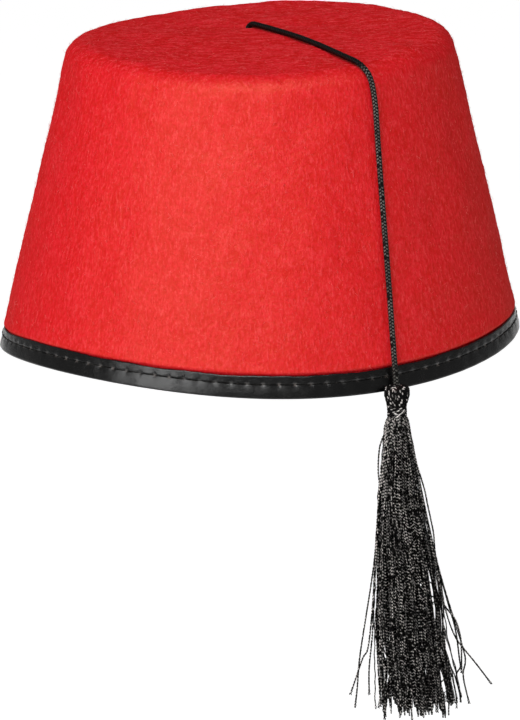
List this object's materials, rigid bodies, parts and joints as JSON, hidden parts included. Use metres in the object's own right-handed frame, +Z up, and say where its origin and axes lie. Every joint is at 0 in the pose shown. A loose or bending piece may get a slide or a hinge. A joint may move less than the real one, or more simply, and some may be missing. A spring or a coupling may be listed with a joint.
{
  "type": "fez hat",
  "caption": "Brimless felt hat shaped as a cut-off cone with a flat top, a bound rim, and a thin cord from the top that hangs a tassel beside the rim.",
  "frame": {"origin": "middle of the head opening, in the mean plane of the bound rim, which waves up to 3 mm above and below it", "axes": "+Z up through the crown, -Y towards the front, from where the tassel hangs to the right"},
  "size_m": [0.191, 0.1919, 0.2394],
  "materials": {
    "felt": "stiff needled felt, matt, with short fibres",
    "binding": "black imitation leather, fine grain, semi-gloss",
    "cord": "black braided cord with a silky shine",
    "thread": "black twisted rayon thread, shiny"
  },
  "bodies": {
    "root": {"crown": "felt", "rim_binding": "binding", "tassel_cord": "cord", "cord_knot": "cord", "tassel": "thread", "neck_wrap": "thread"}
  },
  "joints": []
}
